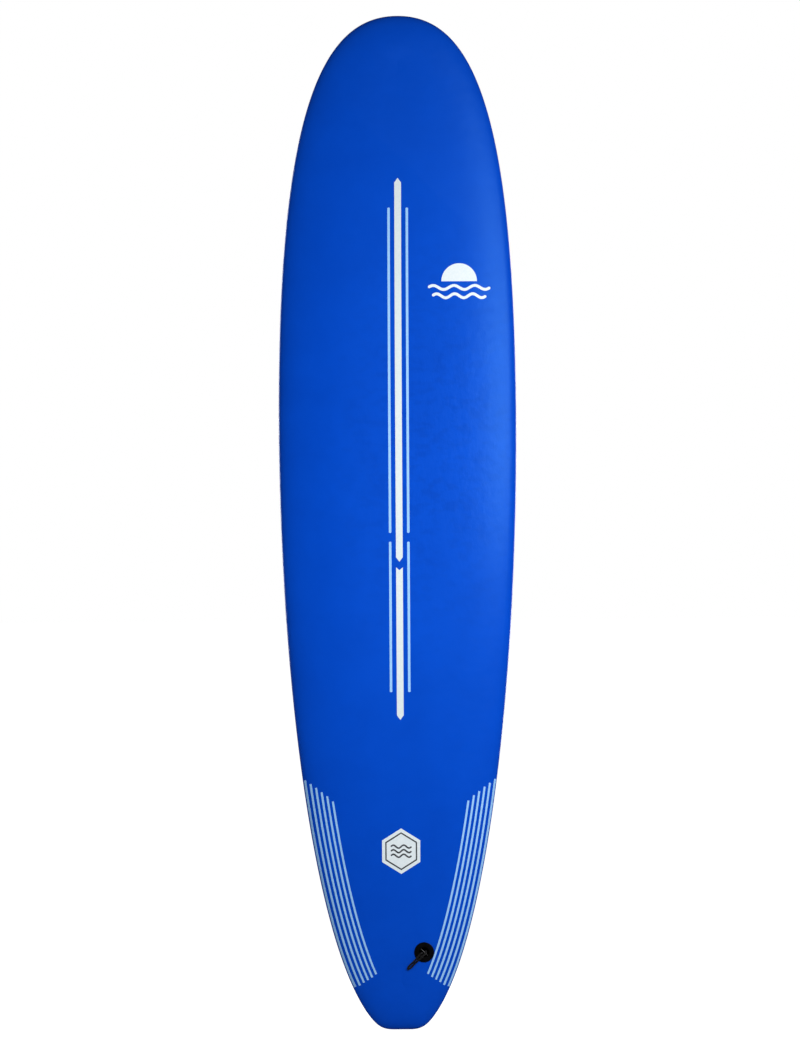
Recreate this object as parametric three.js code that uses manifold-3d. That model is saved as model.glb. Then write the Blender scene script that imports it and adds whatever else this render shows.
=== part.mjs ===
// An eight-foot soft-top surfboard, laid up the way such a board is made: foam core
// sections glued between plywood stringers, a soft deck skin that wraps the rails,
// a slick bottom skin, three fins clamped in screwed boxes, and a leash plug.
//
// Frame: the board stands on its tail. +Z runs to the nose, the deck faces -Y, the
// bottom and its fins face +Y, and the origin is the centre of the tail's flat end.
import * as THREE from "three";
import { mergeVertices } from "three/addons/utils/BufferGeometryUtils.js";
import Module from "manifold-3d";

const wasm = await Module();
wasm.setup();

// ---------------------------------------------------------------- Dimensions
// Millimetres and degrees.
const GAP = 0.4; // between neighbouring pieces: a glue line or a sliding fit

const LENGTH = 2438.4; // 8 ft
const HALF_WIDTH = 287;
const WIDE_POINT = 1462; // distance of the widest section from the tail
const THICKNESS = 84;
const THICKEST_POINT = 1250;
const NOSE_THINNING = 0.4; // share of the thickness lost at the end of the spine
const TAIL_THINNING = 0.47;
const THINNING_POWER = 2.6;
const APEX_SHARE = 0.42; // height of the rail's apex in the local thickness
const RAIL_BAND = 5; // upright strip round the rail, flat across the tail

const NOSE_ROCKER = 120;
const NOSE_ROCKER_START = 1250;
const NOSE_ROCKER_POWER = 2.4;
const TAIL_ROCKER = 52;
const TAIL_ROCKER_START = 950;
const TAIL_ROCKER_POWER = 2.2;

const SPINE_POWER = 10; // how late the section lines turn towards the ends
const SPINE_SNAP = 2; // section lines that end this close to the spine's end share it
const CROWN_POWER = 2.6; // fullness of the deck's dome
const BELLY_POWER = 4; // fullness of the bottom's rounded edge
const BELLY_FLAT = 0.6; // the bottom is flat from here to the spine
const DECK_STEPS = 8;
const BELLY_STEPS = 6;
const SEAM_STEP = 3; // belly step where the deck skin ends and the bottom skin starts
const SEAM_SHARE = 0.004; // width of the seam, as a share of a section line

const SKIN = 5;
const GLUE_LINE = 0.7; // between the skins and the core
const STRINGER_OFFSET = 95;
const STRINGER_WIDTH = 5;

const FIN_BOX = { length: 118, width: 30, depth: 20 };
const TAB = { length: 22, width: 5.8, depth: 13.5, offset: 28 };
const SLOT_DEPTH = 15;
const FIN_PLINTH = { width: 9.5, height: 3 };
const CENTRE_FIN = { base: 112, depth: 124, cant: 0 };
const SIDE_FIN = { base: 106, depth: 112, cant: 5 };
const FIN_THICKNESS = { root: 9, tip: 4, edge: 1.6 };
const BLUNT_SHARE = 0.11; // of the chord, over which the front rounds up to the edge
// The blade's outline, as shares of its base forward of the middle, and of its depth.
const FIN_FRONT = [
  [0.5, 0],
  [0.34, 0.42],
  [-0.04, 0.86],
  [-0.46, 1],
];
const FIN_BACK = [
  [-0.5, 0],
  [-0.35, 0.3],
  [-0.43, 0.7],
  [-0.62, 0.94],
];
const BLADE_STEPS = 7;
const CHORD_STEPS = 6;
const CENTRE_FIN_PLACE = { x: 0, z: 152, toe: 0 };
const SIDE_FIN_PLACE = { x: 130, z: 336, toe: 3 };
const SCREW = { radius: 2.5, length: 8, sink: 0.6, socket: 1.5, socketDepth: 3 };
const SCREW_HOLE = { radius: 2.8, depth: 12, mouth: 8.5, tilt: 19.5 };

const PLUG_PLACE = { x: 53.7, z: 185.4 };
const PLUG = { flange: 24, rise: 2, sink: 1, body: 15, depth: 20, stem: 7, stemDepth: 43 };
const PLUG_CUP = { radius: 11.5, depth: 15, mouth: 13, mouthDepth: 1.5 };
const PLUG_PIN = { radius: 2.25, halfLength: 13.4, depth: 6 };
const ANCHOR = { radius: 14, rise: 1.6, sink: 1.6, bolt: 4, boltTop: 23 };
const PLUG_EDGE = 0.8; // bevel round the plug's two discs
const CORD_RADIUS = 2.3;
const ROUND_SIDES = 24;
const PIN_SIDES = 14;
const SCREW_SIDES = 12;
const CORD_SIDES = 8;
const CORD_STEPS = 60;

const COLOURS = {
  deck: { color: 0x0a44c8, roughness: 0.55, metalness: 0 },
  bottom: { color: 0xeef2f5, roughness: 0.3, metalness: 0 },
  foam: { color: 0xf7f7f4, roughness: 0.95, metalness: 0 },
  wood: { color: 0xb98a55, roughness: 0.7, metalness: 0 },
  blackPlastic: { color: 0x111214, roughness: 0.4, metalness: 0 },
  fin: { color: 0x17181b, roughness: 0.5, metalness: 0 },
  steel: { color: 0xb9bdc2, roughness: 0.3, metalness: 1 },
  cord: { color: 0x0d0d0f, roughness: 0.9, metalness: 0 },
};

// ------------------------------------------------------------- Solid helpers
function solidFrom(geometry) {
  const bare = geometry.clone();
  bare.deleteAttribute("normal");
  bare.deleteAttribute("uv");
  const merged = mergeVertices(bare);
  const corners = [];
  for (let i = 0; i < merged.index.count; i += 3) {
    const [a, b, c] = merged.index.array.slice(i, i + 3);
    if (a !== b && b !== c && c !== a) corners.push(a, b, c);
  }
  const triVerts = new Uint32Array(corners);
  const vertProperties = merged.attributes.position.array;
  return new wasm.Manifold(new wasm.Mesh({ numProp: 3, vertProperties, triVerts }));
}

function geometryFrom(solid) {
  const { vertProperties, triVerts } = solid.getMesh();
  const geometry = new THREE.BufferGeometry();
  geometry.setAttribute("position", new THREE.BufferAttribute(vertProperties, 3));
  geometry.setIndex(new THREE.BufferAttribute(triVerts, 1));
  geometry.computeVertexNormals();
  return geometry;
}

function subtractAll(solid, cutters) {
  return cutters.reduce((rest, cutter) => rest.subtract(cutter), solid);
}

function piece(name, solid, colour) {
  const material = new THREE.MeshStandardMaterial(COLOURS[colour]);
  const mesh = new THREE.Mesh(geometryFrom(solid), material);
  mesh.name = name;
  return mesh;
}

// A closed surface through rings of points. Each ring is a loop of as many points.
function loft(rings) {
  const count = rings[0].length;
  const positions = rings.flat().flatMap((point) => point.toArray());
  const index = [];
  for (let ring = 0; ring + 1 < rings.length; ring++) {
    for (let i = 0; i < count; i++) {
      const a = ring * count + i;
      const b = ring * count + ((i + 1) % count);
      index.push(a, b, b + count, a, b + count, a + count);
    }
  }
  const geometry = new THREE.BufferGeometry();
  geometry.setAttribute("position", new THREE.Float32BufferAttribute(positions, 3));
  geometry.setIndex(index);
  return geometry;
}

// The middle of a ring, as a ring of its own that closes the end of a loft.
function centreRing(ring) {
  const sum = ring.reduce((total, point) => total.add(point), new THREE.Vector3());
  const centre = sum.divideScalar(ring.length);
  return ring.map(() => centre);
}

// A bar with round ends, its top face at y = top.
function stadium(length, width, top, bottom) {
  const reach = (length - width) / 2;
  const shape = new THREE.Shape();
  shape.absarc(reach, 0, width / 2, -Math.PI / 2, Math.PI / 2);
  shape.absarc(-reach, 0, width / 2, Math.PI / 2, Math.PI * 1.5);
  const options = { depth: top - bottom, bevelEnabled: false, curveSegments: 5 };
  const bar = new THREE.ExtrudeGeometry(shape, options);
  return bar.rotateY(Math.PI / 2).rotateZ(Math.PI / 2).translate(0, bottom, 0);
}

function block(width, top, bottom, length, z = 0) {
  const box = new THREE.BoxGeometry(width, top - bottom, length);
  return box.translate(0, (top + bottom) / 2, z);
}

// ---------------------------------------------------------------- Hull shape
const point2 = (x, z) => new THREE.Vector2(x, z);
const WIDEST = point2(HALF_WIDTH, WIDE_POINT);
const TAIL_CORNER = point2(76, 30);
const TAIL_EDGE = point2(17, 0);

// The right half of the outline, from the nose tip to the centre of the tail.
const OUTLINE = [
  new THREE.CubicBezierCurve(
    point2(0, LENGTH),
    point2(168, LENGTH),
    point2(HALF_WIDTH, WIDE_POINT + 789),
    WIDEST,
  ),
  new THREE.CubicBezierCurve(
    WIDEST,
    point2(HALF_WIDTH, WIDE_POINT - 617),
    point2(209, 203),
    TAIL_CORNER,
  ),
  new THREE.CubicBezierCurve(TAIL_CORNER, point2(55, 3), point2(41, 0), TAIL_EDGE),
  new THREE.LineCurve(TAIL_EDGE, point2(0, 0)),
];
const OUTLINE_STEPS = [14, 15, 4, 1]; // section lines from each curve

// Each section line runs from the outline to its foot on the spine. Most lie straight
// across the board, and they fan out round its ends.
const MIDDLE = LENGTH / 2;
const SPINE_REACH = MIDDLE * (1 - 1 / (SPINE_POWER + 1));

function spineFoot(z) {
  const v = (z - MIDDLE) / MIDDLE;
  const reach = MIDDLE * v * (1 - v ** SPINE_POWER / (SPINE_POWER + 1));
  const snapped = SPINE_REACH - Math.abs(reach) < SPINE_SNAP;
  return MIDDLE + (snapped ? Math.sign(reach) * SPINE_REACH : reach);
}

// The section line that starts at curve floor(s) of the outline, on one side.
function sectionLine(s, side = 1) {
  const curve = OUTLINE[Math.min(Math.floor(s), OUTLINE.length - 1)];
  const t = s - OUTLINE.indexOf(curve);
  const edge = curve.getPoint(t);
  const tangent = curve.getTangent(t);
  return { side, edge, outward: point2(-tangent.y, tangent.x), foot: spineFoot(edge.y) };
}

const rightLines = OUTLINE_STEPS.flatMap((steps, curve) =>
  Array.from({ length: steps }, (_, i) => sectionLine(curve + i / steps)),
);
const tailLine = sectionLine(OUTLINE.length);
const leftLines = rightLines.slice(1).map((line) => ({ ...line, side: -1 }));
const SECTION_LINES = [...rightLines, tailLine, ...leftLines.reverse()];

function thicknessAt(z) {
  const toNose = z > THICKEST_POINT;
  const end = toNose ? MIDDLE + SPINE_REACH : MIDDLE - SPINE_REACH;
  const share = (z - THICKEST_POINT) / (end - THICKEST_POINT);
  const lost = toNose ? NOSE_THINNING : TAIL_THINNING;
  return THICKNESS * (1 - lost * share ** THINNING_POWER);
}

function rockerAt(z) {
  const nose = Math.max(0, (z - NOSE_ROCKER_START) / (LENGTH - NOSE_ROCKER_START));
  const tail = Math.max(0, (TAIL_ROCKER_START - z) / TAIL_ROCKER_START);
  return NOSE_ROCKER * nose ** NOSE_ROCKER_POWER + TAIL_ROCKER * tail ** TAIL_ROCKER_POWER;
}

const rounded = (share, power) => Math.sqrt(1 - (1 - share) ** power);
const TAIL_APEX = TAIL_ROCKER + APEX_SHARE * thicknessAt(spineFoot(0));

// A point of the hull, inset by depth. A level's inward runs from 0 at the rail's apex
// to 1 on the spine, over the deck (face 1) or under the bottom (face -1).
function hullPoint(line, level, depth) {
  const { edge, outward, side, foot } = line;
  const x = (edge.x - outward.x * depth) * (1 - level.inward);
  const rimZ = edge.y - outward.y * depth;
  const z = rimZ + (foot - rimZ) * level.inward;
  const thickness = thicknessAt(foot);
  const apex = APEX_SHARE * thickness + (level.face * RAIL_BAND) / 2;
  const crown = (thickness - depth - apex) * rounded(level.inward, CROWN_POWER);
  const curl = Math.min(1, level.inward / BELLY_FLAT);
  const belly = (depth - apex) * rounded(curl, BELLY_POWER);
  const height = apex + (level.face > 0 ? crown : belly);
  return new THREE.Vector3(side * x, TAIL_APEX - rockerAt(z) - height, z);
}

// The hull's surface over or under the plan point (x, z), and its outward normal.
function surfacePoint(x, z, face) {
  let near = 0;
  let far = OUTLINE.length;
  let line;
  let inward;
  for (let i = 0; i < 40; i++) {
    const s = (near + far) / 2;
    line = sectionLine(s, Math.sign(x) || 1);
    inward = 1 - Math.abs(x) / line.edge.x;
    if (line.edge.y + (line.foot - line.edge.y) * inward > z) near = s;
    else far = s;
  }
  return hullPoint(line, { face, inward }, 0);
}

function surfaceNormal(x, z, face) {
  const step = 4;
  const across = surfacePoint(x + step, z, face).sub(surfacePoint(x - step, z, face));
  const along = surfacePoint(x, z + step, face).sub(surfacePoint(x, z - step, face));
  return along.cross(across).multiplyScalar(-face).normalize();
}

const deckLevels = Array.from({ length: DECK_STEPS + 1 }, (_, i) => ({
  face: 1,
  inward: (1 - i / DECK_STEPS) ** 2,
}));
const bellyLevels = Array.from({ length: BELLY_STEPS + 1 }, (_, i) => ({
  face: -1,
  inward: BELLY_FLAT * (i / BELLY_STEPS) ** 2,
}));
const spineLevel = { face: -1, inward: 1 };

const hullRing = (level, depth) => SECTION_LINES.map((line) => hullPoint(line, level, depth));

// A skin over the levels from the spine out to its edge: over one face and back inside.
function hullSheet(levels) {
  const outer = levels.map((level) => hullRing(level, 0));
  const inner = levels.map((level) => hullRing(level, SKIN));
  const [first, last] = levels[0].face > 0 ? [outer, inner] : [inner, outer];
  return solidFrom(loft([...first, ...last.reverse()]));
}

// -------------------------------------------------------------------- Places
// Turns a local frame so that its +Y leaves the hull at (x, z), and its +Z is as close
// as it can be to the given direction.
function placeOnHull(place, face, towards) {
  const up = surfaceNormal(place.x, place.z, face);
  const across = new THREE.Vector3().crossVectors(up, towards).normalize();
  const along = new THREE.Vector3().crossVectors(across, up);
  const group = new THREE.Group();
  group.quaternion.setFromRotationMatrix(new THREE.Matrix4().makeBasis(across, up, along));
  group.position.copy(surfacePoint(place.x, place.z, face));
  group.updateMatrixWorld(true);
  return group;
}

const cutterAt = (group, geometry) => solidFrom(geometry.clone().applyMatrix4(group.matrixWorld));

// ---------------------------------------------------------------------- Fins
// Tab slots and screws sit at the same places along every fin box.
const TAB_PLACES = [TAB.offset, -TAB.offset];
const SCREW_TILT = THREE.MathUtils.degToRad(SCREW_HOLE.tilt);

// Half the thickness of a symmetric foil, at a share of its chord from its front.
function foilHalf(share, thickness) {
  const shape =
    0.2969 * Math.sqrt(share) -
    0.126 * share -
    0.3516 * share ** 2 +
    0.2843 * share ** 3 -
    0.1015 * share ** 4;
  const blunt = (FIN_THICKNESS.edge / 2) * Math.min(1, share / BLUNT_SHARE);
  return Math.max(5 * thickness * shape, blunt);
}

// One section of the blade: a loop from its back edge, round its front, and back.
function bladeRing(front, back, share, lean) {
  const thickness = THREE.MathUtils.lerp(FIN_THICKNESS.root, FIN_THICKNESS.tip, share);
  const nose = front.getPoint(share);
  const tail = back.getPoint(share);
  return Array.from({ length: 2 * CHORD_STEPS + 1 }, (_, i) => {
    const turn = i / CHORD_STEPS - 1;
    const along = (1 - Math.cos(turn * Math.PI)) / 2;
    const point = nose.clone().lerp(tail, along);
    const half = Math.sign(turn) * foilHalf(along, thickness);
    return new THREE.Vector3(half + lean * point.y, point.y + GAP, point.x);
  });
}

function finBlade({ base, depth, cant }, side) {
  const curve = (shares) =>
    new THREE.CubicBezierCurve(...shares.map(([z, y]) => point2(z * base, y * depth)));
  const front = curve(FIN_FRONT);
  const back = curve(FIN_BACK);
  const lean = side * Math.tan(THREE.MathUtils.degToRad(cant));
  const rings = Array.from({ length: BLADE_STEPS + 1 }, (_, i) =>
    bladeRing(front, back, i / BLADE_STEPS, lean),
  );
  return loft([centreRing(rings[0]), ...rings, centreRing(rings.at(-1))]);
}

function fin(shape, side) {
  const plinth = stadium(shape.base, FIN_PLINTH.width, FIN_PLINTH.height + GAP, GAP);
  const tabs = TAB_PLACES.map((z) =>
    solidFrom(block(TAB.width, FIN_PLINTH.height / 2, -TAB.depth, TAB.length, z)),
  );
  const blade = solidFrom(finBlade(shape, side)).add(solidFrom(plinth));
  return tabs.reduce((whole, tab) => whole.add(tab), blade);
}

function screwShaft(radius, top, bottom, side, z, sides = SCREW_SIDES) {
  const shaft = new THREE.CylinderGeometry(radius, radius, top - bottom, sides);
  shaft.translate(0, (top + bottom) / 2, 0);
  shaft.rotateZ(-SCREW_TILT * side);
  return solidFrom(shaft.translate(SCREW_HOLE.mouth * side, 0, z));
}

function finBox(side) {
  const slots = TAB_PLACES.map((z) =>
    solidFrom(block(TAB.width + 2 * GAP, 1, -SLOT_DEPTH, TAB.length + 2 * GAP, z)),
  );
  const holes = TAB_PLACES.map((z) =>
    screwShaft(SCREW_HOLE.radius, 3, -SCREW_HOLE.depth, side, z),
  );
  const body = solidFrom(stadium(FIN_BOX.length, FIN_BOX.width, 0, -FIN_BOX.depth));
  return subtractAll(body, [...slots, ...holes]);
}

function finScrew(side, z) {
  const bottom = -SCREW.sink - SCREW.length;
  const socket = screwShaft(SCREW.socket, 0, -SCREW.sink - SCREW.socketDepth, side, z, 6);
  return screwShaft(SCREW.radius, -SCREW.sink, bottom, side, z).subtract(socket);
}

// Side is the side that the fin leans to and that its box's screws are on.
function finStation(name, shape, place, side) {
  const toe = THREE.MathUtils.degToRad(place.toe) * side;
  const ahead = new THREE.Vector3(-Math.sin(toe), 0, Math.cos(toe));
  const group = placeOnHull({ x: place.x * side, z: place.z }, -1, ahead);
  group.add(piece("fin_" + name, fin(shape, side), "fin"));
  group.add(piece("fin_box_" + name, finBox(side), "blackPlastic"));
  TAB_PLACES.forEach((z, i) => {
    const end = i === 0 ? "front" : "rear";
    group.add(piece(`fin_screw_${name}_${end}`, finScrew(side, z), "steel"));
  });
  const { length, width, depth } = FIN_BOX;
  const hole = stadium(length + 2 * GAP, width + 2 * GAP, 10, -depth - GAP);
  return { group, pocket: cutterAt(group, hole) };
}

// ---------------------------------------------------------------- Leash plug
// The local +Y leaves the deck, +Z lies along the pin, and the cord lies along +X.
function turned(profile, sides = ROUND_SIDES) {
  return new THREE.LatheGeometry(profile.map(([radius, y]) => point2(radius, y)), sides);
}

function plugCup() {
  const { flange, rise, sink, body, depth, stem, stemDepth } = PLUG;
  const outside = turned([
    [0, -stemDepth],
    [stem, -stemDepth],
    [stem, -depth],
    [body, -depth],
    [body, -sink],
    [flange, -sink],
    [flange, rise - PLUG_EDGE],
    [flange - PLUG_EDGE, rise],
    [0, rise],
  ]);
  const cup = PLUG_CUP;
  const cavity = turned([
    [0, -cup.depth],
    [cup.radius, -cup.depth],
    [cup.radius, rise - cup.mouthDepth],
    [cup.mouth, rise],
    [cup.mouth, rise + 1],
    [0, rise + 1],
  ]);
  const bore = turned([
    [0, -stemDepth - 1],
    [ANCHOR.bolt + GAP, -stemDepth - 1],
    [ANCHOR.bolt + GAP, 1 - ANCHOR.boltTop],
    [0, 1 - ANCHOR.boltTop],
  ]);
  return subtractAll(solidFrom(outside), [solidFrom(cavity), solidFrom(bore), plugPin(GAP)]);
}

function plugPin(clearance) {
  const radius = PLUG_PIN.radius + clearance;
  const length = 2 * (PLUG_PIN.halfLength + clearance);
  const pin = new THREE.CylinderGeometry(radius, radius, length, PIN_SIDES);
  return solidFrom(pin.rotateX(Math.PI / 2).translate(0, -PLUG_PIN.depth, 0));
}

// The plug's lower half: a disc let into the bottom, with the bolt that draws the two
// halves together through the core.
function plugAnchor(bottomY) {
  const { radius, rise, sink, bolt, boltTop } = ANCHOR;
  const profile = [
    [0, bottomY - rise],
    [radius - PLUG_EDGE, bottomY - rise],
    [radius, bottomY - rise + PLUG_EDGE],
    [radius, bottomY + sink],
    [bolt, bottomY + sink],
    [bolt, -boltTop],
    [0, -boltTop],
  ];
  return solidFrom(turned(profile));
}

// The holes that the two halves of the plug leave in the skins and the core.
function plugHoles(bottomY) {
  const past = 12;
  const deckHole = turned([
    [0, -PLUG.depth - GAP],
    [PLUG.body + GAP, -PLUG.depth - GAP],
    [PLUG.body + GAP, -PLUG.sink - GAP],
    [PLUG.flange + GAP, -PLUG.sink - GAP],
    [PLUG.flange + GAP, past],
    [0, past],
  ]);
  const bottomHole = turned([
    [0, bottomY - past],
    [ANCHOR.radius + GAP, bottomY - past],
    [ANCHOR.radius + GAP, bottomY + ANCHOR.sink + GAP],
    [PLUG.stem + GAP, bottomY + ANCHOR.sink + GAP],
    [PLUG.stem + GAP, 0],
    [0, 0],
  ]);
  return [deckHole, bottomHole];
}

// One closed loop of cord: down one side of the pin, under it, up the other side, and
// out over the flange as two strands that meet in a bight.
function cordLoop() {
  const wrap = PLUG_PIN.radius + CORD_RADIUS + GAP;
  const pinY = -PLUG_PIN.depth;
  const onFlange = PLUG.rise + CORD_RADIUS + 2 * GAP;
  const path = [
    [0, pinY - wrap - 0.1, 0],
    [wrap * 0.8, pinY - wrap * 0.66, 1],
    [wrap + 0.2, pinY, 2.2],
    [wrap + 0.9, pinY + 4.5, 3.2],
    [wrap + 3.4, pinY + 9.4, 4],
    [15.5, onFlange, 4],
    [26, onFlange - 0.3, 2.7],
    [38, onFlange - 1.6, 2.6],
    [49, onFlange - 2.6, 2.9],
    [56.5, onFlange - 2.8, 0],
    [49, onFlange - 2.6, -2.9],
    [38, onFlange - 1.6, -2.6],
    [26, onFlange - 0.3, -2.7],
    [13.5, onFlange - 0.1, -3.9],
    [5, pinY + wrap + 3, -4],
    [-2, pinY + wrap + 0.1, -3.4],
    [-wrap - 0.1, pinY + 0.5, -2],
    [-wrap * 0.74, pinY - wrap * 0.72, -0.9],
  ];
  const points = path.map((p) => new THREE.Vector3(...p));
  const curve = new THREE.CatmullRomCurve3(points, true);
  return solidFrom(new THREE.TubeGeometry(curve, CORD_STEPS, CORD_RADIUS, CORD_SIDES, true));
}

function leashPlug() {
  const upLeft = new THREE.Vector3(-1, 0, 1).normalize();
  const group = placeOnHull(PLUG_PLACE, 1, upLeft);
  const below = surfacePoint(PLUG_PLACE.x, PLUG_PLACE.z, -1);
  const bottomY = -below.distanceTo(group.position);
  group.add(piece("leash_plug_cup", plugCup(), "blackPlastic"));
  group.add(piece("leash_plug_pin", plugPin(0), "steel"));
  group.add(piece("leash_plug_anchor", plugAnchor(bottomY), "blackPlastic"));
  group.add(piece("leash_loop", cordLoop(), "cord"));
  return { group, pockets: plugHoles(bottomY).map((hole) => cutterAt(group, hole)) };
}

// ------------------------------------------------------------ Skins and core
const slab = (left, right) => {
  const box = new THREE.BoxGeometry(right - left, 600, 2 * LENGTH);
  return solidFrom(box.translate((left + right) / 2, 0, 0));
};

function coreParts(pockets) {
  const levels = [...deckLevels, ...bellyLevels, spineLevel];
  const rings = levels.map((level) => hullRing(level, SKIN + GLUE_LINE));
  const core = solidFrom(loft(rings));
  const part = (name, left, right, colour) =>
    piece(name, subtractAll(core.intersect(slab(left, right)), pockets), colour);
  const stringer = (name, x) =>
    part(name, x - STRINGER_WIDTH / 2, x + STRINGER_WIDTH / 2, "wood");
  const innerFace = STRINGER_WIDTH / 2 + GAP;
  const innerEnd = STRINGER_OFFSET - innerFace;
  const outerFace = STRINGER_OFFSET + innerFace;
  return [
    stringer("stringer_left", -STRINGER_OFFSET),
    stringer("stringer_centre", 0),
    stringer("stringer_right", STRINGER_OFFSET),
    part("core_outer_left", -HALF_WIDTH, -outerFace, "foam"),
    part("core_inner_left", -innerEnd, -innerFace, "foam"),
    part("core_inner_right", innerFace, innerEnd, "foam"),
    part("core_outer_right", outerFace, HALF_WIDTH, "foam"),
  ];
}

// ------------------------------------------------------------------ Assembly
const surfboard = new THREE.Group();

const finStations = [
  finStation("centre", CENTRE_FIN, CENTRE_FIN_PLACE, 1),
  finStation("left", SIDE_FIN, SIDE_FIN_PLACE, -1),
  finStation("right", SIDE_FIN, SIDE_FIN_PLACE, 1),
];
const plug = leashPlug();
const pockets = [...finStations.map((station) => station.pocket), ...plug.pockets];

const seam = bellyLevels[SEAM_STEP];
const bottomEdge = { face: -1, inward: seam.inward + SEAM_SHARE };
const deckSheet = hullSheet([...deckLevels, ...bellyLevels.slice(0, SEAM_STEP + 1)]);
const bottomSheet = hullSheet([
  spineLevel,
  ...bellyLevels.slice(SEAM_STEP + 1).reverse(),
  bottomEdge,
]);
surfboard.add(piece("deck_skin", subtractAll(deckSheet, pockets), "deck"));
surfboard.add(piece("bottom_skin", subtractAll(bottomSheet, pockets), "bottom"));
surfboard.add(...coreParts(pockets));
surfboard.add(...finStations.map((station) => station.group), plug.group);

export default surfboard;
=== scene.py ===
"""A soft-top surfboard, seen square on to its deck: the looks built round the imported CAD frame.

The hull formulas and the dimensions in millimetres are those of the CAD part, so each fine surface
lies on the coarse one it stands for. Points are worked out in millimetres and stored in metres.
"""
import math

import bmesh
import bpy
import numpy as np
from mathutils import Matrix, Vector, noise
from mathutils.bvhtree import BVHTree


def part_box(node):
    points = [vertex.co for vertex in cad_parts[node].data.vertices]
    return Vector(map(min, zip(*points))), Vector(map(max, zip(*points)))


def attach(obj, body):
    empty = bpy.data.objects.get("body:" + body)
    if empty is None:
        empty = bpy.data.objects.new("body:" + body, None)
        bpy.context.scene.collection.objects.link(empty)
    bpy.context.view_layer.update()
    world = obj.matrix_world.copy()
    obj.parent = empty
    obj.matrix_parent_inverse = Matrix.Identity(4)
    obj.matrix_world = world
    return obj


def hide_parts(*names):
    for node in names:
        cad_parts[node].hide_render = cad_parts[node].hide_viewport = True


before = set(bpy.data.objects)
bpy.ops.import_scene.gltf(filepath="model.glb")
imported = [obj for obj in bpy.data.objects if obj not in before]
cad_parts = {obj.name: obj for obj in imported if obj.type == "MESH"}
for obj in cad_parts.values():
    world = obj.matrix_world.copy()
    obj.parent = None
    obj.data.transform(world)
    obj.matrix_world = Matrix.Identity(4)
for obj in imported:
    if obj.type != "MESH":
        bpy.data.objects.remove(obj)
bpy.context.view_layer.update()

MM = 0.001

# ------------------------------------------------------------------ dimensions
# The plan size comes from the frame; the rest are the CAD part's own dimensions, in mm.
DECK_LOW, DECK_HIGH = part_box("deck_skin")
LENGTH = (DECK_HIGH.z - DECK_LOW.z) / MM
HALF_WIDTH = DECK_HIGH.x / MM
WIDE_POINT = 1462.0
THICKNESS, THICKEST_POINT = 84.0, 1250.0
NOSE_THINNING, TAIL_THINNING, THINNING_POWER = 0.4, 0.47, 2.6
APEX_SHARE, RAIL_BAND = 0.42, 5.0
NOSE_ROCKER, NOSE_ROCKER_START, NOSE_ROCKER_POWER = 120.0, 1250.0, 2.4
TAIL_ROCKER, TAIL_ROCKER_START, TAIL_ROCKER_POWER = 52.0, 950.0, 2.2
SPINE_POWER, SPINE_SNAP = 10, 2.0
CROWN_POWER, BELLY_POWER, BELLY_FLAT = 2.6, 4.0, 0.6
SEAM = BELLY_FLAT / 4
SEAM_SHARE = 0.004
SKIN = 5.0
DECK, BOTTOM = 1, -1

# ------------------------------------------------------------------ hull shape
MIDDLE = LENGTH / 2
SPINE_REACH = MIDDLE * (1 - 1 / (SPINE_POWER + 1))
HALF_TAIL = 17
WIDEST, TAIL_CORNER, TAIL_EDGE = (HALF_WIDTH, WIDE_POINT), (76, 30), (HALF_TAIL, 0)
# One side's plan outline: four Bezier curves of (x, z) points, from the nose to the tail's middle.
OUTLINE = np.array([
    [(0, LENGTH), (168, LENGTH), (HALF_WIDTH, WIDE_POINT + 789), WIDEST],
    [WIDEST, (HALF_WIDTH, WIDE_POINT - 617), (209, 203), TAIL_CORNER],
    [TAIL_CORNER, (55, 3), (41, 0), TAIL_EDGE],
    [TAIL_EDGE, (HALF_TAIL * 2 / 3, 0), (HALF_TAIL / 3, 0), (0, 0)],
], float)
OUTLINE_END = float(len(OUTLINE))


def outline_at(s):
    """Points, outward normals and spine feet where the section lines at s leave the outline."""
    s = np.asarray(s, float)
    curve = np.minimum(s.astype(int), len(OUTLINE) - 1)
    t = (s - curve)[..., None]
    a, b, c, d = np.moveaxis(OUTLINE[curve], -2, 0)
    u = 1 - t
    edge = u**3 * a + 3 * u**2 * t * b + 3 * u * t**2 * c + t**3 * d
    slope = u**2 * (b - a) + 2 * u * t * (c - b) + t**2 * (d - c)
    slope /= np.linalg.norm(slope, axis=-1, keepdims=True)
    outward = np.stack([-slope[..., 1], slope[..., 0]], -1)
    v = (edge[..., 1] - MIDDLE) / MIDDLE
    reach = MIDDLE * v * (1 - v**SPINE_POWER / (SPINE_POWER + 1))
    reach = np.where(SPINE_REACH - abs(reach) < SPINE_SNAP, np.sign(reach) * SPINE_REACH, reach)
    return edge, outward, MIDDLE + reach


def thickness_at(z):
    to_nose = z > THICKEST_POINT
    end = np.where(to_nose, MIDDLE + SPINE_REACH, MIDDLE - SPINE_REACH)
    share = np.clip((z - THICKEST_POINT) / (end - THICKEST_POINT), 0, None)
    lost = np.where(to_nose, NOSE_THINNING, TAIL_THINNING)
    return THICKNESS * (1 - lost * share**THINNING_POWER)


def rocker_at(z):
    nose = np.clip((z - NOSE_ROCKER_START) / (LENGTH - NOSE_ROCKER_START), 0, None)
    tail = np.clip((TAIL_ROCKER_START - z) / TAIL_ROCKER_START, 0, None)
    return NOSE_ROCKER * nose**NOSE_ROCKER_POWER + TAIL_ROCKER * tail**TAIL_ROCKER_POWER


def rounded(share, power):
    return np.sqrt(np.clip(1 - (1 - share) ** power, 0, 1))


TAIL_APEX = TAIL_ROCKER + APEX_SHARE * float(thickness_at(np.array(MIDDLE - SPINE_REACH)))


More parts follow.
